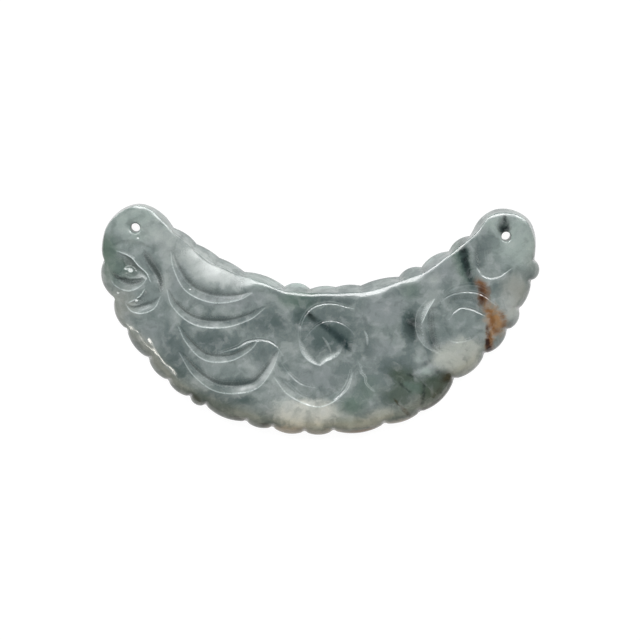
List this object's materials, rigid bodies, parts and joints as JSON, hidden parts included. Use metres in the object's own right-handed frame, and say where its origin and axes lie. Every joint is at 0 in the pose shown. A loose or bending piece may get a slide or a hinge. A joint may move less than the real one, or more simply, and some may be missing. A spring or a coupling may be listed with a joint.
{
  "type": "carved jade crescent plaque",
  "caption": "Crescent pendant plaque carved from one slab of mottled grey-green jade, with a bird-dragon head, feather hollows, spirals, a lobed rim and cord holes in its horns.",
  "frame": {"origin": "middle of the flat back, on the surface that the plaque lies on", "axes": "+X along the crescent from the carved head to the plain horn, +Y from the lobed belly to the horns, +Z out of the carved face"},
  "size_m": [0.088, 0.0466, 0.0055],
  "materials": {
    "jade": "polished, slightly translucent grey-green jade with lavender-grey cloud, dark green inclusions and a rust stain"
  },
  "bodies": {
    "root": {"plaque": "jade"}
  },
  "joints": []
}
